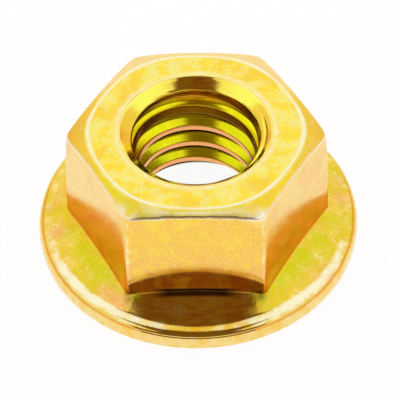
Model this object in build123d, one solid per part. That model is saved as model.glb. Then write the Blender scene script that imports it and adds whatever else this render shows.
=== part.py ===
"""Serrated flange nut, M6 x 1, cold formed in one piece.

A hexagon stands on a sloping flange. The bearing face under the flange is
cut into ratchet teeth, which slide as the nut is tightened and bite against
loosening. Sizes are in millimetres. The thread axis is +Z, and the lands of
the teeth stand on z = 0.
"""

import os
from math import ceil, cos, pi, radians, sin, tan

from build123d import *
from build123d.topology import SkipClean

# Hexagon
ACROSS_FLATS = 9.8
CORNER_RADIUS = 0.22
NUT_HEIGHT = 6.0
TOP_CHAMFER_ANGLE = 20.0
TOP_FACE_INSET = 0.42
SHOULDER_RADIUS = 0.8

# Flange
FLANGE_DIAMETER = 14.0
FLANGE_SLOPE = 18.0
FLANGE_EDGE_HEIGHT = 1.05
RIM_ROUNDING_SHARE = 0.727
RIM_LOWER_ANGLE = 84.0
RIM_FOOT_RADIUS = 0.1
NECK_FILLET_SHARE = 0.218

# Internal thread, right-hand
THREAD_DIAMETER = 6.0
THREAD_PITCH = 1.0
THREAD_ANGLE = 60.0
THREAD_START_ANGLE = 72.0
CREST_SHARE = 0.25
ROOT_SHARE = 0.125
UPPER_COUNTERSINK_CLEARANCE = 0.35
UPPER_COUNTERSINK_ANGLE = 100.0
LOWER_COUNTERSINK_CLEARANCE = 1.3
LOWER_COUNTERSINK_ANGLE = 80.0

# Ratchet teeth under the flange
TOOTH_COUNT = 30
TOOTH_DEPTH = 0.3
TOOTH_LAND_SHARE = 0.22
TOOTH_WALL_SHARE = 0.14
TOOTH_RING_INSET = 0.4
TOOTH_RUNOUT_ANGLE = 40.0

# The teeth are cut by wedges that narrow towards the axis and start at this radius
TOOTH_CUTTER_START = 1.0

# How far cutters run past the metal
OVERRUN = 0.5


def flange_overhang():
    """How far the flange reaches past the hexagon's rounded corners."""
    corner_reach = (ACROSS_FLATS / 2 - CORNER_RADIUS) / cos(pi / 6) + CORNER_RADIUS
    return FLANGE_DIAMETER / 2 - corner_reach


def rim_point(slope):
    """Where the rounded rim falls at this slope, as (radius, height)."""
    rounding = RIM_ROUNDING_SHARE * flange_overhang()
    centre_r = FLANGE_DIAMETER / 2 - rounding * sin(radians(RIM_LOWER_ANGLE))
    centre_z = FLANGE_EDGE_HEIGHT - rounding * cos(radians(FLANGE_SLOPE))
    radius = centre_r + rounding * sin(radians(slope))
    height = centre_z + rounding * cos(radians(slope))
    return radius, height


def tooth_ring_radius():
    """Outer radius of the lands that the nut stands on."""
    return FLANGE_DIAMETER / 2 - TOOTH_RING_INSET


def flange():
    """The sloping flange with its rounded rim."""
    start = rim_point(FLANGE_SLOPE)
    middle = rim_point((FLANGE_SLOPE + RIM_LOWER_ANGLE) / 2)
    end = rim_point(RIM_LOWER_ANGLE)
    apex = (0, start[1] + start[0] * tan(radians(FLANGE_SLOPE)))
    foot = (tooth_ring_radius(), 0)
    outline = make_face([
        Line((0, 0), apex),
        Line(apex, start),
        ThreePointArc(start, middle, end),
        Line(end, foot),
        Line(foot, (0, 0)),
    ])
    rim_foot = outline.vertices().sort_by(Axis.X)[-1]
    outline = fillet(rim_foot, RIM_FOOT_RADIUS)
    return revolve(Plane.XZ * outline, Axis.Z)


def shoulder_limit():
    """Turned form that chamfers the top of the hexagon and rounds off its corners."""
    top_r = ACROSS_FLATS / 2 - TOP_FACE_INSET
    outer_r = ACROSS_FLATS / 2 / cos(pi / 6)
    outer_z = NUT_HEIGHT - (outer_r - top_r) * tan(radians(TOP_CHAMFER_ANGLE))
    points = [(0, 0), (0, NUT_HEIGHT), (top_r, NUT_HEIGHT), (outer_r, outer_z), (outer_r, 0)]
    outline = make_face(Polyline(*points, close=True))
    shoulder = outline.vertices().sort_by(Axis.Y)[2]
    outline = fillet(shoulder, SHOULDER_RADIUS)
    return revolve(Plane.XZ * outline, Axis.Z)


def hexagon():
    """The hexagon, with rounded corners and chamfered shoulders."""
    outline = RegularPolygon(ACROSS_FLATS / 2, 6, major_radius=False)
    outline = fillet(outline.vertices(), CORNER_RADIUS)
    return extrude(outline, NUT_HEIGHT) & shoulder_limit()


def blank():
    """The forged blank: hexagon and flange, with the fillet where they meet."""
    sides = hexagon()
    base = flange()
    body = sides + base
    neck = new_edges(sides, base, combined=body)
    return fillet(neck, NECK_FILLET_SHARE * flange_overhang())


def tooth_gap_section(radius):
    """Section of one tooth gap at this radius: a steep wall, then a long ramp."""
    step = 2 * pi / TOOTH_COUNT
    wall_start = step * TOOTH_LAND_SHARE / 2
    deepest = wall_start + step * TOOTH_WALL_SHARE
    ramp_end = step - wall_start
    depth = TOOTH_DEPTH * radius / tooth_ring_radius()
    wall_run = radius * (tan(deepest) - tan(wall_start))
    ramp_run = radius * (tan(ramp_end) - tan(deepest))
    points = [
        (radius * tan(wall_start) - wall_run, -depth),
        (radius * tan(deepest), depth),
        (radius * tan(ramp_end) + ramp_run, -depth),
    ]
    return Plane.YZ.offset(radius) * make_face(Polyline(*points, close=True))


def tooth_gaps():
    """Cutters for the gaps between the ratchet teeth, which run out short of the rim."""
    sections = [
        tooth_gap_section(TOOTH_CUTTER_START),
        tooth_gap_section(FLANGE_DIAMETER / 2 + OVERRUN),
    ]
    runout = TOOTH_DEPTH / tan(radians(TOOTH_RUNOUT_ANGLE))
    ring_r = tooth_ring_radius()
    limit = Cone(ring_r + runout, ring_r - runout, 2 * TOOTH_DEPTH)
    gap = loft(sections, ruled=True) & limit
    return [Rot(0, 0, 360 * i / TOOTH_COUNT) * gap for i in range(TOOTH_COUNT)]


def thread_radii():
    """Crest and root radius of the internal thread."""
    sharp_height = THREAD_PITCH / 2 / tan(radians(THREAD_ANGLE / 2))
    root_r = THREAD_DIAMETER / 2
    crest_r = root_r - sharp_height * (1 - CREST_SHARE - ROOT_SHARE)
    return crest_r, root_r


def bore():
    """Cutter for the bore that the thread is cut into, its wall in four quarters."""
    crest_r = thread_radii()[0]
    quarters = [CenterArc((0, 0), crest_r, 45 + 90 * i, 90) for i in range(4)]
    drill = extrude(make_face(quarters), NUT_HEIGHT + 2 * OVERRUN, clean=False)
    return Pos(0, 0, -OVERRUN) * drill


def countersink(clearance, angle):
    """Cutter for a countersink whose mouth is at z = 0."""
    mouth_r = (THREAD_DIAMETER + clearance) / 2
    height = mouth_r / tan(radians(angle / 2))
    return Cone(mouth_r, 0, height, align=(Align.CENTER, Align.CENTER, Align.MIN))


def countersinks():
    """Cutters for the countersink at each end of the bore."""
    lower = countersink(LOWER_COUNTERSINK_CLEARANCE, LOWER_COUNTERSINK_ANGLE)
    upper = countersink(UPPER_COUNTERSINK_CLEARANCE, UPPER_COUNTERSINK_ANGLE)
    return [lower, Pos(0, 0, NUT_HEIGHT) * Rot(180, 0, 0) * upper]


def thread_turns():
    """Cutters for the helical groove, one for each turn, past both ends of the nut."""
    crest_r, root_r = thread_radii()
    flank = tan(radians(THREAD_ANGLE / 2))
    inner_r = crest_r - THREAD_PITCH * CREST_SHARE / 4 / flank
    root_half = THREAD_PITCH * ROOT_SHARE / 2
    inner_half = root_half + (root_r - inner_r) * flank
    points = [(inner_r, -inner_half), (root_r, -root_half), (root_r, root_half), (inner_r, inner_half)]
    section = Plane.XZ * make_face(Polyline(*points, close=True))
    turn = sweep(section, path=Helix(THREAD_PITCH, THREAD_PITCH, crest_r), is_frenet=True)
    start = Rot(0, 0, THREAD_START_ANGLE)
    count = ceil(NUT_HEIGHT / THREAD_PITCH) + 2
    return [Pos(0, 0, THREAD_PITCH * (i - 1)) * start * turn for i in range(count)]


def flange_nut():
    """The finished nut."""
    body = blank().cut(*tooth_gaps())
    with SkipClean():
        body = body.cut(bore())
        body = body.cut(*countersinks())
        body = body.cut(*thread_turns())
    return body


os.makedirs("parts", exist_ok=True)
nut = flange_nut()
nut.label = "flange_nut"
export_step(nut, "parts/flange_nut.step")
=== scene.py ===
"""Serrated flange nut: its finished surface, plating, studio and camera.

Lengths are in mm and angles in degrees, unless a comment says otherwise. The
front is -Y. The mesh is built in mm and scaled to metres when it is handed to
Blender.
"""

import math

import bpy
import numpy as np
from mathutils import Matrix, Vector


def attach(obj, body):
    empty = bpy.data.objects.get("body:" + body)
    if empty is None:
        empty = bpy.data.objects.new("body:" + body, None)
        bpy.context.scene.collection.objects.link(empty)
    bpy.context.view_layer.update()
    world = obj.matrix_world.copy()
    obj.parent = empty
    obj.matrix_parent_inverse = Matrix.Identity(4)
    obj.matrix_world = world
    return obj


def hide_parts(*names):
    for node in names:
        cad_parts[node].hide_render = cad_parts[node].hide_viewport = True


MM = 0.001
FRONT = math.radians(270)

# Hexagon. Each flat has its own distance from the axis, low and high
FLAT_ANGLES = np.radians([30, 90, 150, 210, 270, 330])
FLATS_LOW = np.array([4.98, 4.95, 4.98, 5.02, 4.96, 4.99])
FLATS_HIGH = np.array([4.82, 4.85, 4.82, 4.82, 4.86, 4.82])
SIDE_LOW, SIDE_HIGH = 1.3, 5.6
HIGHEST_SHARE = 1.15
EDGE_SHARPNESS = 90.0
SHOULDER_SHARPNESS = 34.0
SIDE_ROWS = (0.06, 0.14, 0.25, 0.36, 0.5, 0.64, 0.78, 0.9)
# Rubbed film at the hexagon's corners, which also paints the edges' highlights: its amount and
# the angle it spreads over
EDGE_WEAR_AND_HIGHLIGHT, EDGE_WEAR_AND_HIGHLIGHT_WIDTH = 0.42, 1.0
# Keeps a flat that faces away from counting
LEAST_LEAN = 0.05

# Top face and shoulder. The front's shoulder is flatter and rounder than the others
TOP = 6.0
TOP_CIRCLE = 4.48
TOP_CIRCLE_LOBES = 0.06
TOP_CIRCLE_ROUNDING = 0.8
SHOULDER_SLOPE, FRONT_SLOPE_LOSS = 21.0, 0.42
SHOULDER_RADIUS, FRONT_RADIUS_GAIN = 0.16, 0.2

# Burrs on the front edge, as (angle, size)
BURRS = [(241.5, 1.0), (251.0, 0.8), (256.5, -0.4), (283.0, -0.4), (292.0, 0.6), (297.5, 1.0)]
BURR_HEIGHT = 0.045
BURR_WIDTH = 1.6

# Neck: a small fillet, larger in the webs at the corners
NECK_FILLET = 0.06
WEB_FILLET, WEB_WIDTH = 0.3, 5.0

# Flange. Its slope grows from the neck outwards, and a flat lip leads to the rim
FLANGE_RADIUS = 7.0
NECK_SLOPE, FLANGE_SLOPE, LIP_SLOPE = 17.0, 19.5, 12.0
SLOPE_RUN = 1.6
LIP_START = (6.42, 0.89)
LIP_BLEND_IN, LIP_BLEND_OUT = 0.03, 0.02
FLANGE_ROWS = (0.05, 0.1, 0.15, 0.22, 0.3, 0.45, 0.6, 0.75, 0.9)
RIM_ROUNDING = 0.38
RIM_LOWER_ANGLE = 84.0
RIM_ROWS = 14
RIM_SWELL, RIM_SWELL_HEIGHT = 0.012, 0.16
RIM_FOOT_INSET, RIM_FOOT_HEIGHT, RIM_FOOT_ROUNDING = 0.01, 0.06, 0.05
# The rim's painted highlight, drawn as rubbed film, and the angle over which a full one would
# fade
RIM_HIGHLIGHT, RIM_HIGHLIGHT_FADE = 0.75, 60.0
FOOT = 6.6
FOOT_EDGE, FOOT_EDGE_ROUNDING = 0.12, 0.03

# Bore and thread
PITCH = 1.0
THREAD_START = 72.0
THREAD_BOTTOM = 0.3
CREST_RADIUS = 2.4587
CREST_BAND = 0.02
ROOT_DEPTH, ROOT_BAND = 0.31, 0.04
ROOTS_END = 5.6
WALL_SOFTNESS, UPPER_SOFTNESS, LOWER_SOFTNESS = 0.03, 0.02, 0.03
UPPER_MOUTH, UPPER_CONE = 3.19, 50.0
# Rows beside the upper mouth's edge: the nearest ones, and where its rubbed film, partly a
# painted highlight, ends
UPPER_RING, WORN_AND_LIT_RING = 0.12, 0.3
MOUTH_ROUNDING = 0.07
LOWER_MOUTH, LOWER_CONE = 3.65, 40.0
# Radius against the distance from the groove's centre
GROOVE = [(0.0, 3.0), (0.04, 3.0), (0.07, 2.93), (0.11, 2.8), (0.375, 2.4587), (0.5, 2.3)]
# Radius of the crests against height: the bore opens out towards the top
BORE_TAPER = [
    (0.0, 0.0), (3.6, 2.45), (4.4, 2.55), (4.9, 2.61), (5.2, 2.655), (5.6, 2.71), (6.5, 2.8),
]
# Turns that cover the bore, from below it to above it
TURNS = range(-2, 9)
# Rows within half a pitch, measured from the groove's centre
THREAD_ROWS = [0.0, 0.035, 0.07, 0.1, 0.14, 0.2, 0.26, 0.31, 0.34, 0.36, 0.375, 0.39, 0.41, 0.45]

# Ratchet teeth. The shares are of one tooth's step
TEETH = 30
TOOTH_DEPTH = 0.3
LAND_SHARE, WALL_SHARE = 0.22, 0.14
TOOTH_RUNOUT = 40.0
TOOTH_ROWS = (6.6, 6.52, 6.42, 6.32, 6.2, 5.6, 4.9, 4.3)
TOOTH_COLUMNS = [LAND_SHARE / 2, LAND_SHARE / 2 + WALL_SHARE, 0.5, 0.64, 0.77, 1 - LAND_SHARE / 2]
CORNER_COLUMNS = [-3.2, -2.3, -1.9, -0.9, -0.5, -0.15, 0.15, 0.5, 0.9, 1.9, 2.3, 3.2]

# Where two surfaces meet is settled in steps, from these heights of shoulder and neck
SETTLING_STEPS = 12
SHOULDER_GUESS, NECK_GUESS = 5.7, 1.4

# Tints, as soft spots: (x, y, z, radius, amount). Salmon and lime tint the film and pale shows
# bare metal; amber is partly painted reflection, and dark is painted shade
SALMON_SPOTS = [
    (-6.08, -1.3, 0.96, 0.38, 0.95),
    (-3.88, -4.74, 0.99, 0.4, 0.8),
    (-3.48, -5.06, 0.99, 0.4, 0.9),
    (-3.14, -5.32, 0.97, 0.35, 0.85),
    (5.5, -3.67, 0.82, 0.45, 0.8),
    (6.31, 0.64, 0.92, 0.4, 0.7),
    (6.22, 1.62, 0.89, 0.35, 0.5),
    (-6.53, 0.2, 0.85, 0.25, 0.5),
]
LIME_SPOTS = [
    (-5.44, -1.47, 1.16, 0.4, 0.8),
    (-4.87, -2.39, 1.23, 0.5, 0.9),
    (-4.36, -3.18, 1.24, 0.55, 0.95),
    (-3.9, -3.83, 1.21, 0.55, 1.0),
    (-3.5, -4.35, 1.18, 0.4, 0.9),
    (-4.45, -4.15, 1.01, 0.7, 0.35),
    (5.2, -2.01, 1.18, 0.6, 0.8),
    (4.62, -2.94, 1.21, 0.6, 0.9),
    (4.04, -3.71, 1.21, 0.5, 0.9),
    (3.52, -4.33, 1.18, 0.4, 0.8),
    (-2.59, -5.03, 1.15, 0.22, 1.0),
    (2.41, -5.03, 1.18, 0.25, 1.0),
    (5.81, -0.9, 1.08, 0.5, 0.6),
    (2.75, -5.22, 1.07, 0.4, 0.6),
]
# Amber: painted reflections low on the side faces and in front on the flange, and a tint at the
# bore's upper mouth
AMBER_TINT_AND_REFLECTION_SPOTS = [
    (-5.22, -0.9, 1.02, 0.45, 0.55),
    (-4.62, -1.95, 1.51, 0.5, 0.6),
    (-4.04, -2.94, 1.75, 0.55, 0.65),
    (-3.57, -3.75, 1.85, 0.55, 0.7),
    (-3.27, -4.28, 1.62, 0.5, 0.7),
    (5.13, -1.05, 1.71, 0.5, 0.6),
    (4.54, -2.08, 1.92, 0.55, 0.65),
    (3.95, -3.09, 2.19, 0.6, 0.7),
    (3.47, -3.93, 2.41, 0.6, 0.7),
    (3.12, -4.53, 2.21, 0.5, 0.7),
    (0.0, 3.0, 5.85, 1.15, 0.85),
    (-3.1, -0.3, 5.93, 0.45, 0.6),
    (3.1, -0.5, 5.93, 0.45, 0.6),
    (-1.53, -5.72, 1.06, 0.9, 0.75),
    (-0.02, -5.85, 1.09, 0.9, 0.8),
    (1.61, -5.73, 1.05, 0.9, 0.75),
]
# Painted shade where the front corners meet the flange
CORNER_SHADE_SPOTS = [
    (-2.91, -4.89, 1.14, 0.16, 0.6),
    (-2.84, -5.14, 1.08, 0.2, 0.5),
    (2.8, -4.78, 1.19, 0.18, 0.8),
    (2.71, -5.05, 1.13, 0.22, 0.7),
]
# Bare metal along the front edge
PALE_SPOTS = [
    (-2.48, -4.64, 5.8, 0.14, 0.9),
    (-1.55, -4.59, 5.8, 0.12, 0.8),
    (2.32, -4.72, 5.8, 0.2, 0.7),
    (2.72, -4.64, 5.8, 0.26, 0.9),
    (-2.93, -4.31, 5.8, 0.2, 0.6),
    (-1.8, -4.16, 5.8, 0.3, 0.35),
]
SPOTS = {
    "salmon": SALMON_SPOTS,
    "lime": LIME_SPOTS,
    "amber": AMBER_TINT_AND_REFLECTION_SPOTS,
    "dark": CORNER_SHADE_SPOTS,
    "pale": PALE_SPOTS,
}

# Camera. Its roll and turn are in radians, and its focal length is in pixels of the picture
CAMERA_ELEVATION = 48.25
CAMERA_DISTANCE = 80.0
CAMERA_ROLL = -0.027
CAMERA_TURN = 0.029
CAMERA_TARGET = (0.107, 0.0, 1.548)
FOCAL_PIXELS = 1830.0
PICTURE_PIXELS = 400.0
SENSOR_WIDTH = 36.0

# Floor: half its side in metres, its grey, and the light it shows by itself
FLOOR_HALF = 3.0
FLOOR_GREY = 0.09
FLOOR_GLOW = 0.93


def tan(angle):
    return math.tan(math.radians(angle))


def facing_front(theta):
    """1 straight in front, falling to 0 at the sides and behind."""
    return np.maximum(0, np.cos(theta - FRONT))


def at_corners(theta, width):
    """1 at each corner of the hexagon, falling off over this angle."""
    past = np.degrees(np.mod(theta + math.pi / 6, math.pi / 3)) - 30
    return np.exp(-((past / width) ** 2))


def columns():
    """Angles of the columns: closer at the hexagon's corners and at each tooth's edges."""
    step = 360.0 / TEETH
    angles = [step * (i + share) for i in range(TEETH) for share in TOOTH_COLUMNS]
    angles += [60.0 * i + offset for i in range(6) for offset in CORNER_COLUMNS]
    return np.radians(np.unique(np.round(np.mod(angles, 360.0), 6)))


def hexagon(theta, z):
    """Radius of the hexagon at this angle and height."""
    t = np.clip((z - SIDE_LOW) / (SIDE_HIGH - SIDE_LOW), 0, HIGHEST_SHARE)
    flats = FLATS_LOW + (FLATS_HIGH - FLATS_LOW) * t[..., None]
    power = EDGE_SHARPNESS + (SHOULDER_SHARPNESS - EDGE_SHARPNESS) * np.clip(t, 0, 1) ** 3
    lean = np.maximum(np.cos(theta[..., None] - FLAT_ANGLES), LEAST_LEAN) / flats
    largest = lean.max(-1)
    spread = ((lean / largest[..., None]) ** power[..., None]).sum(-1) ** (1 / power)
    return 1 / (largest * spread)


def top_circle(theta):
    """Radius at which the flat top face ends."""
    return TOP_CIRCLE + TOP_CIRCLE_LOBES * np.cos(6 * theta)


def shoulder_slope(theta):
    """Slope of the chamfer between the top face and the sides."""
    return np.tan(np.radians(SHOULDER_SLOPE * (1 - FRONT_SLOPE_LOSS * facing_front(theta) ** 2)))


def flange_height(r):
    """Height of the flange's upper side at this radius, inside the lip."""
    back = LIP_START[0] - r
    bend = (tan(FLANGE_SLOPE) - tan(NECK_SLOPE)) / (2 * SLOPE_RUN)
    return LIP_START[1] + back * tan(FLANGE_SLOPE) - back**2 * bend


def lip_highlight(theta):
    """A painted highlight on the lip, drawn as rubbed film: little in front, most to both sides
    of it, less behind.
    """
    aside = np.abs(theta - FRONT)
    rising = 0.15 + 0.85 * np.clip(aside / 0.6, 0, 1)
    falling = 1 - 0.7 * np.clip((aside - 0.95) / 0.4, 0, 1)
    return rising * falling


def tooth_gap(theta):
    """Depth of the gap between teeth at the foot's radius."""
    share = np.mod(theta / (2 * math.pi) * TEETH, 1.0)
    land, wall = LAND_SHARE / 2, LAND_SHARE / 2 + WALL_SHARE
    return TOOTH_DEPTH * np.interp(share, [0, land, wall, 1 - land, 1], [0, 0, 1, 0, 0])


def arc(before, corner, after, radius, count):
    """Points of the arc that rounds a profile's corner in every column."""
    u, v = before - corner, after - corner
    lu = np.linalg.norm(u, axis=-1, keepdims=True)
    lv = np.linalg.norm(v, axis=-1, keepdims=True)
    u, v = u / lu, v / lv
    half = np.arccos(np.clip((u * v).sum(-1, keepdims=True), -0.9999, 0.9999)) / 2
    run = np.minimum(radius / np.tan(half), 0.45 * np.minimum(lu, lv))
    to_centre = run * np.tan(half) / np.sin(half)
    centre = corner + (u + v) / np.linalg.norm(u + v, axis=-1, keepdims=True) * to_centre
    start, end = corner + u * run - centre, corner + v * run - centre
    turn = math.pi - 2 * half
    shares = [k / (count - 1) for k in range(count)]
    return [
        centre + (start * np.sin((1 - t) * turn) + end * np.sin(t * turn)) / np.sin(turn)
        for t in shares
    ]


class Profile:
    """The nut's outline in every column, from the upper countersink down to the lower one.

    Each point has marks for the material: bore, side and flange say which part
    of the nut it belongs to, and the last one how much of the film is gone; that one also paints
    highlights on edges and on the lip.
    """

    def __init__(self, theta):
        self.ones = np.ones_like(theta)
        self.points, self.radii, self.counts, self.marks = [], [], [], []

    def add(self, r, z, radius=0.0, count=1, bore=0.0, side=0.0, flange=0.0, wear=0.0):
        """Adds a point. With a count above 1 it becomes an arc of that many points."""
        self.points.append(np.stack([r * self.ones, z * self.ones], -1))
        self.radii.append(radius)
        self.counts.append(count)
        self.marks.append([m * self.ones for m in (bore, side, flange, wear)])

    def rows(self):
        """Rows of the mesh and their marks. On an arc, the rubbed film and its painted highlight
        are strongest half way.
        """
        rows, values = [self.points[0]], [self.marks[0]]
        for i in range(1, len(self.points) - 1):
            count, mark, after = self.counts[i], self.marks[i], self.marks[i + 1]
            if count < 2:
                rows.append(self.points[i])
                values.append(mark)
                continue
            rows += arc(*self.points[i - 1:i + 2], self.radii[i], count)
            for k in range(count):
                t = k / (count - 1)
                mixed = [m * (1 - t) + p * t for m, p in zip(mark[:-1], after[:-1])]
                values.append(mixed + [mark[-1] * math.sin(math.pi * t)])
        rows.append(self.points[-1])
        values.append(self.marks[-1])
        return rows, values


def add_top(profile, theta):
    """The upper countersink's edge, the top face and the shoulder, whose height it returns."""
    ring = UPPER_RING
    profile.add(UPPER_MOUTH - ring, TOP - ring / tan(UPPER_CONE), bore=1)
    # The rubbed film on these edges also paints their highlights
    profile.add(UPPER_MOUTH, TOP, radius=MOUTH_ROUNDING, count=5, bore=1, wear=0.6)
    profile.add(UPPER_MOUTH + ring, TOP, wear=0.55)
    profile.add(UPPER_MOUTH + WORN_AND_LIT_RING, TOP, wear=0.25)
    circle = top_circle(theta)
    for share in (0.4, 0.75):
        profile.add(UPPER_MOUTH + (circle - UPPER_MOUTH) * share, TOP)
    profile.add(circle, TOP, radius=TOP_CIRCLE_ROUNDING, count=7, wear=0.85)

    z = SHOULDER_GUESS * np.ones_like(theta)
    for _ in range(SETTLING_STEPS):
        reach = hexagon(theta, z)
        z = TOP - (reach - circle) * shoulder_slope(theta)
    front = facing_front(theta) ** 6
    profile.add(circle + (reach - circle) * 0.5, (TOP + z) / 2, wear=0.7 * front**1.5)
    burr = 0.2 * np.sin(theta * 83) + 0.3 * np.sin(theta * 37 + 1.0)
    for angle, size in BURRS:
        burr = burr + size * np.exp(-(((np.degrees(theta) - angle) / BURR_WIDTH) ** 2))
    reach = reach + BURR_HEIGHT * burr * front**0.5
    radius = (SHOULDER_RADIUS + FRONT_RADIUS_GAIN * front)[:, None]
    profile.add(reach, z, radius=radius, count=8, wear=1 - 0.4 * front)
    return z


def add_sides(profile, theta, top):
    """The hexagon's sides, down to the neck. Returns the neck's radius."""
    low = NECK_GUESS * np.ones_like(theta)
    for _ in range(SETTLING_STEPS):
        low = flange_height(hexagon(theta, low))
    # Rubbed film at the corners, which also paints the edges' highlights
    wear = EDGE_WEAR_AND_HIGHLIGHT * at_corners(theta, EDGE_WEAR_AND_HIGHLIGHT_WIDTH)
    for share in SIDE_ROWS:
        z = top + (low - top) * share
        profile.add(hexagon(theta, z), z, side=1, wear=wear)
    neck = hexagon(theta, low)
    fillet = (NECK_FILLET + WEB_FILLET * at_corners(theta, WEB_WIDTH))[:, None]
    profile.add(neck, low, radius=fillet, count=7, side=1)
    return neck


def add_flange(profile, theta, neck):
    """The flange's upper side, its lip and its rim, down to the foot."""
    lip_start_r, lip_start_z = LIP_START
    for share in FLANGE_ROWS:
        r = neck + (lip_start_r - neck) * share
        profile.add(r, flange_height(r), flange=1)

    centre_r = FLANGE_RADIUS - RIM_ROUNDING * math.sin(math.radians(RIM_LOWER_ANGLE))
    lip_r = centre_r + RIM_ROUNDING * math.sin(math.radians(LIP_SLOPE))
    lip_z = lip_start_z - (lip_r - lip_start_r) * tan(LIP_SLOPE)
    centre_z = lip_z - RIM_ROUNDING * math.cos(math.radians(LIP_SLOPE))
    # Painted highlight on the lip and the rim, drawn as rubbed film
    worn_and_lit = lip_highlight(theta)
    before, after = lip_start_r - LIP_BLEND_IN, lip_start_r + LIP_BLEND_OUT
    after_z = lip_start_z - LIP_BLEND_OUT * tan(LIP_SLOPE)
    profile.add(before, flange_height(before), flange=1, wear=0.3 * worn_and_lit)
    profile.add(after, after_z, flange=1, wear=0.62 * worn_and_lit)
    for share in (0.4, 0.7):
        r = lip_start_r + (lip_r - lip_start_r) * share
        z = lip_start_z + (lip_z - lip_start_z) * share
        profile.add(r, z, flange=1, wear=0.85 * worn_and_lit)
    for slope in np.linspace(LIP_SLOPE, RIM_LOWER_ANGLE, RIM_ROWS):
        r = centre_r + RIM_ROUNDING * math.sin(math.radians(slope))
        z = centre_z + RIM_ROUNDING * math.cos(math.radians(slope))
        fading = np.maximum(0.0, RIM_HIGHLIGHT - (slope - LIP_SLOPE) / RIM_HIGHLIGHT_FADE)
        profile.add(r, z, flange=1, wear=fading * worn_and_lit)

    profile.add(FLANGE_RADIUS + RIM_SWELL, RIM_SWELL_HEIGHT, flange=1)
    rim_foot = FLANGE_RADIUS - RIM_FOOT_INSET
    profile.add(rim_foot, RIM_FOOT_HEIGHT, radius=RIM_FOOT_ROUNDING, count=3, flange=1, wear=0.5)
    profile.add(FOOT + FOOT_EDGE, 0.0, radius=FOOT_EDGE_ROUNDING, count=3, flange=1, wear=0.5)


def add_underside(profile, theta):
    """The ratchet teeth and the lower countersink."""
    gap = tooth_gap(theta)
    for r in TOOTH_ROWS:
        profile.add(r, np.minimum(gap * r / FOOT, (FOOT - r) * tan(TOOTH_RUNOUT)))
    mouth = LOWER_MOUTH / (1 + gap / FOOT * tan(LOWER_CONE))
    profile.add(mouth, gap * mouth / FOOT, bore=0.5)
    profile.add(LOWER_MOUTH - THREAD_BOTTOM * tan(LOWER_CONE), THREAD_BOTTOM, bore=1)


def soft_max(a, b, softness):
    """The larger of the two, with a smooth change from one to the other."""
    d = np.clip((b - a) / softness, -1, 1)
    return np.where(d <= -1, a, np.where(d >= 1, b, (a + b) / 2 + softness * (1 + d * d) / 4))


def bore_wall(theta, z):
    """Radius of the threaded wall with its countersinks, and how far it is a crest and a root."""
    centre = PITCH * (theta - math.radians(THREAD_START)) / (2 * math.pi)
    s = np.abs(np.mod(z - centre + PITCH / 2, PITCH) - PITCH / 2)
    groove = np.interp(s, *zip(*GROOVE))
    crest = np.maximum(CREST_RADIUS, np.interp(z, *zip(*BORE_TAPER)))
    wall = soft_max(groove, crest, WALL_SOFTNESS)
    upper = UPPER_MOUTH - (TOP - z) * tan(UPPER_CONE)
    lower = LOWER_MOUTH - z * tan(LOWER_CONE)
    r = soft_max(soft_max(wall, upper, UPPER_SOFTNESS), lower, LOWER_SOFTNESS)
    is_crest = np.clip(1 - (r - crest) / CREST_BAND, 0, 1)
    is_root = np.clip((r - crest - ROOT_DEPTH) / ROOT_BAND, 0, 1)
    is_root[z > ROOTS_END] = 0
    return r, is_crest, is_root


def tint(places, spots):
    """How strongly each place is tinted by these spots."""
    total = np.zeros(len(places))
    for x, y, z, radius, amount in spots:
        distance = np.linalg.norm(places - np.array([x, y, z]), axis=1)
        total = np.maximum(total, amount * np.exp(-((distance / radius) ** 2)))
    return total


class Skin:
    """Vertices, faces and marks of the mesh. A place that comes up again keeps its vertex."""

    def __init__(self, theta):
        self.theta = theta
        self.vertices, self.faces, self.marks = [], [], []
        self.index = {}

    def vertex(self, i, r, z, mark):
        key = (i, round(float(r), 5), round(float(z), 5))
        if key not in self.index:
            self.index[key] = len(self.vertices)
            angle = self.theta[i]
            self.vertices.append((r * math.cos(angle), r * math.sin(angle), z))
            self.marks.append(mark)
        return self.index[key]

    def face(self, *corners):
        """Adds a face, or nothing where so many corners meet that none is left."""
        ring = list(dict.fromkeys(corners))
        if len(ring) > 2:
            self.faces.append(ring)


def add_outside(skin, rows, marks):
    """Faces over everything but the bore's wall."""
    n = len(skin.theta)
    grid = [
        [skin.vertex(i, *row[i], [m[i] for m in mark] + [0.0, 0.0]) for i in range(n)]
        for row, mark in zip(rows, marks)
    ]
    for upper, lower in zip(grid, grid[1:]):
        for i in range(n):
            j = (i + 1) % n
            skin.face(upper[i], lower[i], lower[j], upper[j])


def add_bore(skin, top_row, bottom_row):
    """Faces of the bore's wall. Its rows climb with the thread, so they meet one turn on."""
    n = len(skin.theta)
    top_z = float(top_row[0, 1])
    offsets = np.array(THREAD_ROWS + [PITCH - h for h in THREAD_ROWS[:0:-1]])
    heights = np.array([turn * PITCH + offset for turn in TURNS for offset in offsets])
    start = -math.radians(THREAD_START) / (2 * math.pi) * PITCH
    wall = []
    for i, angle in enumerate(skin.theta):
        z = np.clip(heights + start + angle / (2 * math.pi) * PITCH, THREAD_BOTTOM, top_z)
        r, crest, root = bore_wall(np.full_like(z, angle), z)
        r[z <= THREAD_BOTTOM] = bottom_row[i, 0]
        r[z >= top_z] = top_row[i, 0]
        wall.append([
            skin.vertex(i, *place, [1.0, 0.0, 0.0, 0.0, is_crest, is_root])
            for *place, is_crest, is_root in zip(r, z, crest, root)
        ])
    for i in range(n):
        j = (i + 1) % n
        shift = len(offsets) if j == 0 else 0
        for k in range(len(heights) - 1 - shift):
            skin.face(wall[i][k], wall[i][k + 1], wall[j][k + 1 + shift], wall[j][k + shift])


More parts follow.
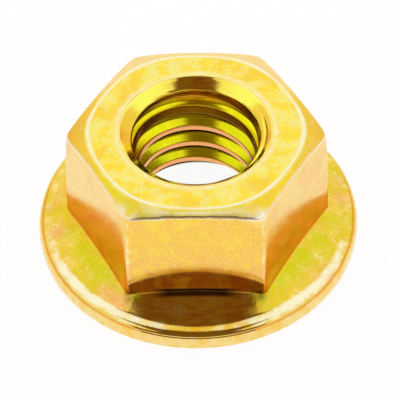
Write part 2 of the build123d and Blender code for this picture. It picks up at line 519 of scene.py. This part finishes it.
def build_mesh():
    """The nut's mesh in metres, with the values that the plating reads from it."""
    theta = columns()
    profile = Profile(theta)
    shoulder = add_top(profile, theta)
    neck = add_sides(profile, theta, shoulder)
    add_flange(profile, theta, neck)
    add_underside(profile, theta)
    rows, marks = profile.rows()
    skin = Skin(theta)
    add_outside(skin, rows, marks)
    add_bore(skin, rows[0], rows[-1])

    mesh = bpy.data.meshes.new("nut")
    mesh.from_pydata([tuple(c * MM for c in v) for v in skin.vertices], [], skin.faces)
    names = ("bore", "side", "flange", "wear", "crest", "root")
    layers = dict(zip(names, np.array(skin.marks).T))
    places = np.array(skin.vertices)
    for name, spots in SPOTS.items():
        layers[name] = tint(places, spots)
    for name, values in layers.items():
        layer = mesh.attributes.new(name, "FLOAT", "POINT")
        layer.data.foreach_set("value", values.astype(np.float32))
    mesh.validate()
    mesh.update()
    return mesh


def make_camera():
    elevation = math.radians(CAMERA_ELEVATION)
    side = Vector((1.0, 0.0, 0.0))
    up = Vector((0.0, math.sin(elevation), math.cos(elevation)))
    back = Vector((0.0, -math.cos(elevation), math.sin(elevation)))
    place = (Vector(CAMERA_TARGET) + CAMERA_DISTANCE * back) * MM
    right = math.cos(CAMERA_ROLL) * side + math.sin(CAMERA_ROLL) * up
    top = -math.sin(CAMERA_ROLL) * side + math.cos(CAMERA_ROLL) * up
    turn = Matrix.Rotation(CAMERA_TURN, 3, "Z")
    axes = [turn @ v for v in (right, top, right.cross(top), place)]
    data = bpy.data.cameras.new("camera")
    data.sensor_width = SENSOR_WIDTH
    data.lens = FOCAL_PIXELS / PICTURE_PIXELS * SENSOR_WIDTH
    data.clip_start = 0.005
    data.clip_end = 10.0
    camera = bpy.data.objects.new("camera", data)
    bpy.context.scene.collection.objects.link(camera)
    camera.matrix_world = Matrix([[c[i] for c in axes] for i in range(3)] + [[0, 0, 0, 1]])
    bpy.context.scene.camera = camera


def srgb(*levels):
    """A displayed colour, 0 to 255, as the linear colour that a node takes."""
    return tuple(
        ((v / 255 + 0.055) / 1.055) ** 2.4 if v > 10 else v / 255 / 12.92 for v in levels
    ) + (1.0,)


# Colours of the top face and its chamfer
TOP_PALE = srgb(250, 236, 130)
TOP_YELLOW = srgb(255, 226, 68)
TOP_GOLD = srgb(251, 211, 66)
CHAMFER_LIME = srgb(234, 212, 20)
CHAMFER_GOLD = srgb(250, 210, 40)
# Painted highlight, at the centre of the chamfer's front
CHAMFER_HIGHLIGHT = srgb(246, 234, 150)
CHAMFER_SIDE = srgb(240, 198, 62)
CHAMFER_BACK = srgb(250, 216, 150)
# Of the hexagon's sides
FRONT_LOW = srgb(251, 198, 104)
FRONT_HIGH = srgb(251, 208, 88)
FRONT_STREAK = srgb(250, 180, 96)
FRONT_PATCH = srgb(255, 222, 82)
FRONT_GRAIN = srgb(253, 232, 150)
SIDE_PALE = srgb(252, 215, 122)
SIDE_PEACH = srgb(250, 203, 110)
SIDE_STREAK = srgb(254, 226, 140)
SIDE_FOOT = srgb(225, 170, 20)
# Of the flange
FLANGE_OLIVE = srgb(232, 202, 44)
FLANGE_GOLD = srgb(243, 204, 74)
FLANGE_PATCH = srgb(247, 217, 82)
LIME = srgb(208, 210, 10)
SALMON = srgb(245, 166, 112)
RIM_CREAM = srgb(248, 220, 140)
RIM_GOLD = srgb(249, 206, 96)
# Of the bore
FLANK_LIME = srgb(230, 228, 22)
FLANK_YELLOW = srgb(247, 238, 28)
COUNTERSINK = srgb(254, 250, 100)
CREST_COPPER = srgb(250, 176, 112)
# Painted shade: on the crests high in the bore, and in the roots of the thread
CREST_SHADE_BROWN = srgb(138, 98, 14)
ROOT_SHADE_BROWN = srgb(92, 48, 6)
# Over all of them. The amber colours also paint reflections
AMBER_DEEP = srgb(230, 128, 14)
AMBER_LIGHT = srgb(253, 196, 56)
# Pale rubbed film, which also paints highlights on the edges and the flange's lip
WORN_AND_HIGHLIGHT = srgb(252, 244, 205)
GRAIN_LIGHT = srgb(255, 248, 205)
GRAIN_DARK = srgb(226, 160, 30)
DUST = srgb(150, 110, 40)
CRACKLE = srgb(255, 246, 190)
BARE = srgb(255, 252, 235)
# Painted shade, for the crease under the front side and the front corners' feet
CREASE_SHADE = srgb(56, 12, 3)

# Linear colours of the world
TENT_WHITE = (1.0, 1.0, 1.0, 1)
TENT_DIM = (0.9, 0.62, 0.42, 1)
CARD = (0.19, 0.115, 0.06, 1)
# Half the card's width: least, most, and its growth with the distance below its narrow part
CARD_NARROW, CARD_WIDEST, CARD_GROWTH = 0.29, 0.55, 2.17
CARD_NARROW_FROM = 0.833
# Where the parts of the world start and end, in directions of length 1
CARD_EDGE, CARD_BOTTOM, CARD_BACK = (0.96, 1.04), (0.10, 0.14), (-0.22, -0.17)
GAP_BOTTOM, GAP_TOP, GAP_FRONT = (0.36, 0.41), (0.56, 0.52), (0.6, 0.7)
DIM_BOTTOM, DIM_TOP, DIM_SIDES = (0.0, 0.05), (0.55, 0.45), (0.45, 0.6)


class Tree:
    """Short names for making shader nodes."""

    def __init__(self, tree):
        self.nodes = tree.nodes
        self.links = tree.links

    def put(self, value, socket):
        if isinstance(value, bpy.types.NodeSocket):
            self.links.new(value, socket)
        else:
            socket.default_value = value

    def math(self, op, a, b):
        n = self.nodes.new("ShaderNodeMath")
        n.operation = op
        self.put(a, n.inputs[0])
        self.put(b, n.inputs[1])
        return n.outputs[0]

    def product(self, first, *others):
        for other in others:
            first = self.math("MULTIPLY", first, other)
        return first

    def size(self, value):
        return self.math("ABSOLUTE", value, 0.0)

    def step(self, value, low, high, to_low=0.0, to_high=1.0):
        """A smooth change from one value to another between these limits."""
        n = self.nodes.new("ShaderNodeMapRange")
        n.interpolation_type = "SMOOTHSTEP"
        self.put(value, n.inputs["Value"])
        n.inputs["From Min"].default_value = low
        n.inputs["From Max"].default_value = high
        n.inputs["To Min"].default_value = to_low
        n.inputs["To Max"].default_value = to_high
        return n.outputs[0]

    def mix(self, t, a, b):
        """Colour a, or b where t is 1."""
        n = self.nodes.new("ShaderNodeMix")
        n.data_type = "RGBA"
        self.put(t, n.inputs[0])
        self.put(a, n.inputs[6])
        self.put(b, n.inputs[7])
        return n.outputs[2]

    def mix_value(self, t, a, b):
        n = self.nodes.new("ShaderNodeMix")
        n.data_type = "FLOAT"
        self.put(t, n.inputs[0])
        self.put(a, n.inputs[2])
        self.put(b, n.inputs[3])
        return n.outputs[0]

    def split(self, vector):
        n = self.nodes.new("ShaderNodeSeparateXYZ")
        self.links.new(vector, n.inputs[0])
        return n.outputs

    def scaled(self, vector, by):
        n = self.nodes.new("ShaderNodeVectorMath")
        n.operation = "MULTIPLY"
        self.links.new(vector, n.inputs[0])
        n.inputs[1].default_value = by
        return n.outputs[0]

    def attribute(self, name):
        n = self.nodes.new("ShaderNodeAttribute")
        n.attribute_name = name
        return n.outputs["Fac"]

    def noise(self, vector, scale, detail, roughness, distortion):
        n = self.nodes.new("ShaderNodeTexNoise")
        self.links.new(vector, n.inputs["Vector"])
        n.inputs["Scale"].default_value = scale
        n.inputs["Detail"].default_value = detail
        n.inputs["Roughness"].default_value = roughness
        n.inputs["Distortion"].default_value = distortion
        return n.outputs[0]

    def cracks(self, vector, scale):
        """Distance to the edges of wavy cells."""
        wave = self.nodes.new("ShaderNodeTexNoise")
        self.links.new(vector, wave.inputs["Vector"])
        wave.inputs["Scale"].default_value = scale * 1.6
        bend = self.nodes.new("ShaderNodeVectorMath")
        bend.operation = "MULTIPLY_ADD"
        self.links.new(wave.outputs["Color"], bend.inputs[0])
        bend.inputs[1].default_value = (1.1, 1.1, 1.1)
        self.links.new(vector, bend.inputs[2])
        n = self.nodes.new("ShaderNodeTexVoronoi")
        n.feature = "DISTANCE_TO_EDGE"
        self.links.new(bend.outputs[0], n.inputs["Vector"])
        n.inputs["Scale"].default_value = scale
        return n.outputs["Distance"]


class Film:
    """What the plating varies with: the place in mm, the mesh's marks, and noise."""

    def __init__(self, t):
        coords = t.nodes.new("ShaderNodeTexCoord").outputs["Object"]
        self.place = t.scaled(coords, (1 / MM, 1 / MM, 1 / MM))
        self.x, self.y, self.z = t.split(self.place)
        self.side, self.flange, self.bore = (t.attribute(n) for n in ("side", "flange", "bore"))
        self.crest, self.root, self.wear = (t.attribute(n) for n in ("crest", "root", "wear"))
        self.salmon, self.lime = t.attribute("salmon"), t.attribute("lime")
        self.amber, self.dark, self.pale = (t.attribute(n) for n in ("amber", "dark", "pale"))
        self.clouds = t.noise(self.place, 0.75, 4, 0.62, 0.5)
        self.patches = t.noise(t.scaled(self.place, (1, 1, 0.8)), 1.7, 5, 0.62, 0.3)
        self.grain = t.noise(self.place, 9.0, 3, 0.7, 0.0)
        self.dust = t.noise(self.place, 13.0, 0, 0.5, 0.0)
        self.streaks = t.noise(t.scaled(self.place, (1.4, 1.4, 14)), 1.0, 4, 0.65, 0.2)
        self.cracks = t.cracks(self.place, 1.6)


def top_colour(t, film):
    """Top face, and the chamfer around it."""
    face = t.mix(t.step(film.patches, 0.42, 0.56), TOP_PALE, TOP_YELLOW)
    face = t.mix(t.step(film.clouds, 0.46, 0.64, 0, 0.8), face, TOP_GOLD)
    chamfer = t.mix(t.step(film.x, -0.5, 1.0), CHAMFER_LIME, CHAMFER_GOLD)
    # Painted highlight: the chamfer is paler at the front's centre
    front_highlight = t.product(t.step(t.size(film.x), 2.5, 1.5), t.step(film.patches, 0.3, 0.6, 0.6, 1.0))
    chamfer = t.mix(front_highlight, chamfer, CHAMFER_HIGHLIGHT)
    chamfer = t.mix(t.step(film.y, -3.0, -1.8), chamfer, CHAMFER_SIDE)
    chamfer = t.mix(t.step(film.y, 1.5, 3.0), chamfer, CHAMFER_BACK)
    return t.mix(t.step(film.z, 5.985, 5.93, 0, 0.8), face, chamfer)


def side_colour(t, film):
    """The hexagon's sides, of which the front one is more yellow."""
    front = t.mix(t.step(film.z, 2.2, 4.6), FRONT_LOW, FRONT_HIGH)
    front = t.mix(t.step(film.streaks, 0.48, 0.6, 0, 0.55), front, FRONT_STREAK)
    front = t.mix(t.step(film.patches, 0.5, 0.6, 0, 0.7), front, FRONT_PATCH)
    front = t.mix(t.step(film.grain, 0.58, 0.7, 0, 0.35), front, FRONT_GRAIN)
    others = t.mix(t.step(film.clouds, 0.42, 0.6), SIDE_PALE, SIDE_PEACH)
    faces = t.mix(t.step(film.y, -4.5, -4.0), front, others)
    faces = t.mix(t.step(film.streaks, 0.56, 0.66, 0, 0.3), faces, SIDE_STREAK)
    return t.mix(t.step(film.z, 1.75, 1.4, 0, 0.4), faces, SIDE_FOOT)


def flange_colour(t, film):
    """The flange with its lime and salmon tints, and its paler rim."""
    skirt = t.mix(t.step(film.clouds, 0.42, 0.58), FLANGE_OLIVE, FLANGE_GOLD)
    skirt = t.mix(t.step(film.patches, 0.5, 0.64, 0, 0.6), skirt, FLANGE_PATCH)
    lime = t.product(film.lime, t.step(film.grain, 0.2, 0.6, 0.7, 1.0))
    skirt = t.mix(lime, skirt, LIME)
    salmon = t.product(film.salmon, t.step(film.grain, 0.35, 0.65, 0.5, 1.0))
    skirt = t.mix(salmon, skirt, SALMON)
    rim = t.mix(t.step(film.patches, 0.42, 0.6), RIM_CREAM, RIM_GOLD)
    return t.mix(t.step(film.z, 0.8, 0.66), skirt, rim)


def bore_colour(t, film):
    """Thread and countersinks: copper crests that turn brown upwards, a painted shade, and dark
    roots, also painted shade.
    """
    flank = t.mix(t.step(film.clouds, 0.4, 0.6), FLANK_LIME, FLANK_YELLOW)
    flank = t.mix(t.step(film.z, 5.45, 5.6), flank, COUNTERSINK)
    # Painted shade: the crests turn brown upwards, where they mirror the bore's wall instead of
    # the bright floor
    crest = t.mix(t.step(film.z, 3.9, 4.4), CREST_COPPER, CREST_SHADE_BROWN)
    wall = t.mix(film.crest, flank, crest)
    # Painted shade in the roots of the thread
    return t.mix(film.root, wall, ROOT_SHADE_BROWN)


def with_wear_and_highlights(t, film, colour):
    """The colour with its film rubbed off the edges, which also paints their highlights, and with
    grain, dust and crackle.
    """
    uneven = t.product(t.math("SUBTRACT", film.patches, 0.5), 1.5)
    # The rubbed film's pale colour, which also paints highlights on the edges and the lip
    worn_and_lit = t.step(t.math("ADD", film.wear, uneven), 0.15, 0.85)
    colour = t.mix(t.product(worn_and_lit, t.step(film.wear, 0.0, 0.3)), colour, WORN_AND_HIGHLIGHT)
    outside = t.math("SUBTRACT", 1.0, film.bore)
    light = t.product(t.step(film.grain, 0.55, 0.72, 0, 0.3), outside)
    colour = t.mix(light, colour, GRAIN_LIGHT)
    dark = t.product(t.step(film.grain, 0.44, 0.28, 0, 0.3), outside)
    colour = t.mix(dark, colour, GRAIN_DARK)
    colour = t.mix(t.step(film.dust, 0.8, 0.86, 0, 0.6), colour, DUST)
    hair = t.product(t.step(film.cracks, 0.03, 0.008), t.step(film.clouds, 0.48, 0.6, 0, 0.75))
    colour = t.mix(t.product(hair, film.flange), colour, CRACKLE)
    return t.mix(film.pale, colour, BARE)


def crease_shade_line(t, film):
    """Painted shade: the dark line where the front side meets the flange, in the crease."""
    along = t.product(t.step(film.y, -5.26, -5.1), t.step(t.size(film.x), 2.2, 1.1))
    line = t.product(along, t.step(film.y, -4.8, -4.9), t.step(film.z, 1.6, 1.48))
    return t.product(line, 0.9)


def make_plating():
    """Yellow-passivated zinc: the film shifts from gold to lime, peach, salmon and amber, with
    painted reflections, highlights and shade laid over it.
    """
    material = bpy.data.materials.new("zinc_plating")
    material.use_nodes = True
    t = Tree(material.node_tree)
    film = Film(t)
    shader = t.nodes["Principled BSDF"]

    colour = t.mix(film.side, top_colour(t, film), side_colour(t, film))
    colour = t.mix(film.flange, colour, flange_colour(t, film))
    colour = t.mix(film.bore, colour, bore_colour(t, film))
    off_top = t.math("MAXIMUM", t.math("MAXIMUM", film.side, film.flange), film.bore)
    # Amber: painted reflections low on the side faces and on the flange in front, and a tint at
    # the bore's upper mouth
    amber = t.mix(t.step(film.streaks, 0.4, 0.62), AMBER_DEEP, AMBER_LIGHT)
    colour = t.mix(t.product(film.amber, off_top), colour, amber)
    colour = with_wear_and_highlights(t, film, colour)
    # Painted shade: dark spots where the front corners meet the flange, and a dark line in the
    # crease under the front side
    colour = t.mix(t.math("MAXIMUM", film.dark, crease_shade_line(t, film)), colour, CREASE_SHADE)
    t.links.new(colour, shader.inputs["Base Color"])

    rough = t.mix_value(film.side, 0.24, 0.12)
    rough = t.mix_value(film.flange, rough, 0.06)
    rough = t.mix_value(film.bore, rough, t.step(film.z, 5.3, 5.5, 0.17, 0.08))
    rough = t.math("ADD", rough, t.step(film.patches, 0.4, 0.7, 0.0, 0.05))
    t.links.new(rough, shader.inputs["Roughness"])
    shader.inputs["Metallic"].default_value = 1.0

    relief = t.math("ADD", t.product(film.patches, 0.004), t.product(film.grain, 0.0008))
    bump = t.nodes.new("ShaderNodeBump")
    bump.inputs["Strength"].default_value = 0.5
    bump.inputs["Distance"].default_value = 0.001
    t.links.new(relief, bump.inputs["Height"])
    t.links.new(bump.outputs["Normal"], shader.inputs["Normal"])
    return material


def make_floor():
    """A pale floor, whose glow shows to the camera, in metal and through glass only."""
    s = FLOOR_HALF
    mesh = bpy.data.meshes.new("floor")
    mesh.from_pydata([(-s, -s, 0), (s, -s, 0), (s, s, 0), (-s, s, 0)], [], [(0, 1, 2, 3)])
    floor = bpy.data.objects.new("floor", mesh)
    bpy.context.scene.collection.objects.link(floor)
    material = bpy.data.materials.new("floor")
    material.use_nodes = True
    t = Tree(material.node_tree)
    shader = t.nodes["Principled BSDF"]
    shader.inputs["Base Color"].default_value = (FLOOR_GREY, FLOOR_GREY, FLOOR_GREY, 1)
    shader.inputs["Roughness"].default_value = 1.0
    shader.inputs["Specular IOR Level"].default_value = 0.0
    shader.inputs["Emission Color"].default_value = (1, 1, 1, 1)
    light = t.nodes.new("ShaderNodeLightPath")
    seen = t.math("MAXIMUM", light.outputs["Is Camera Ray"], light.outputs["Is Glossy Ray"])
    seen = t.math("MAXIMUM", seen, light.outputs["Is Transmission Ray"])
    t.links.new(t.product(seen, FLOOR_GLOW), shader.inputs["Emission Strength"])
    mesh.materials.append(material)


def make_world():
    """A white tent. Every ray but the camera's also meets a dark card and dim lower sides.

    The card stands in front, from just above the horizon to past the zenith, with
    one gap in it. It narrows upwards.
    """
    world = bpy.data.worlds.new("tent")
    bpy.context.scene.world = world
    world.use_nodes = True
    t = Tree(world.node_tree)
    background = t.nodes["Background"]
    coords = t.nodes.new("ShaderNodeTexCoord").outputs["Generated"]
    x, y, z = t.split(coords)
    front = t.product(y, -1.0)

    below = t.math("MAXIMUM", t.math("SUBTRACT", CARD_NARROW_FROM, z), 0.0)
    half = t.math("ADD", t.product(below, CARD_GROWTH), CARD_NARROW)
    half = t.math("MINIMUM", half, CARD_WIDEST)
    shift = t.step(z, 0.87, 0.92, 0.0, 0.03)
    across = t.math("DIVIDE", t.size(t.math("ADD", x, shift)), half)
    card = t.product(t.step(across, *CARD_EDGE, 1.0, 0.0), t.step(z, *CARD_BOTTOM))
    card = t.product(card, t.step(front, *CARD_BACK))
    gap = t.product(t.step(z, *GAP_BOTTOM), t.step(z, *GAP_TOP), t.step(front, *GAP_FRONT))
    card = t.product(card, t.math("SUBTRACT", 1.0, gap))

    dim = t.product(t.step(z, *DIM_BOTTOM), t.step(z, *DIM_TOP), t.step(t.size(x), *DIM_SIDES))

    camera = t.nodes.new("ShaderNodeLightPath").outputs["Is Camera Ray"]
    unseen = t.math("SUBTRACT", 1.0, camera)
    colour = t.mix(t.product(dim, unseen), TENT_WHITE, TENT_DIM)
    colour = t.mix(t.product(card, unseen), colour, CARD)
    t.links.new(colour, background.inputs["Color"])
    background.inputs["Strength"].default_value = 1.0


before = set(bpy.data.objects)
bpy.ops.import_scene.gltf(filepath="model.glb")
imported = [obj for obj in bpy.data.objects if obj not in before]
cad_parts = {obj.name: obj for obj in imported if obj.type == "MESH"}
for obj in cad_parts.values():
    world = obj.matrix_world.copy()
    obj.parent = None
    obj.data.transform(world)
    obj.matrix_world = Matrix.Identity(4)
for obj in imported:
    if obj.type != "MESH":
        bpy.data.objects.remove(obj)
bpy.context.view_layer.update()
bpy.context.scene.view_settings.view_transform = "Standard"
make_camera()
nut = bpy.data.objects.new("nut", build_mesh())
bpy.context.scene.collection.objects.link(nut)
nut.data.materials.append(make_plating())
nut.data.shade_smooth()
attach(nut, "root")
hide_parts("flange_nut")
make_floor()
make_world()
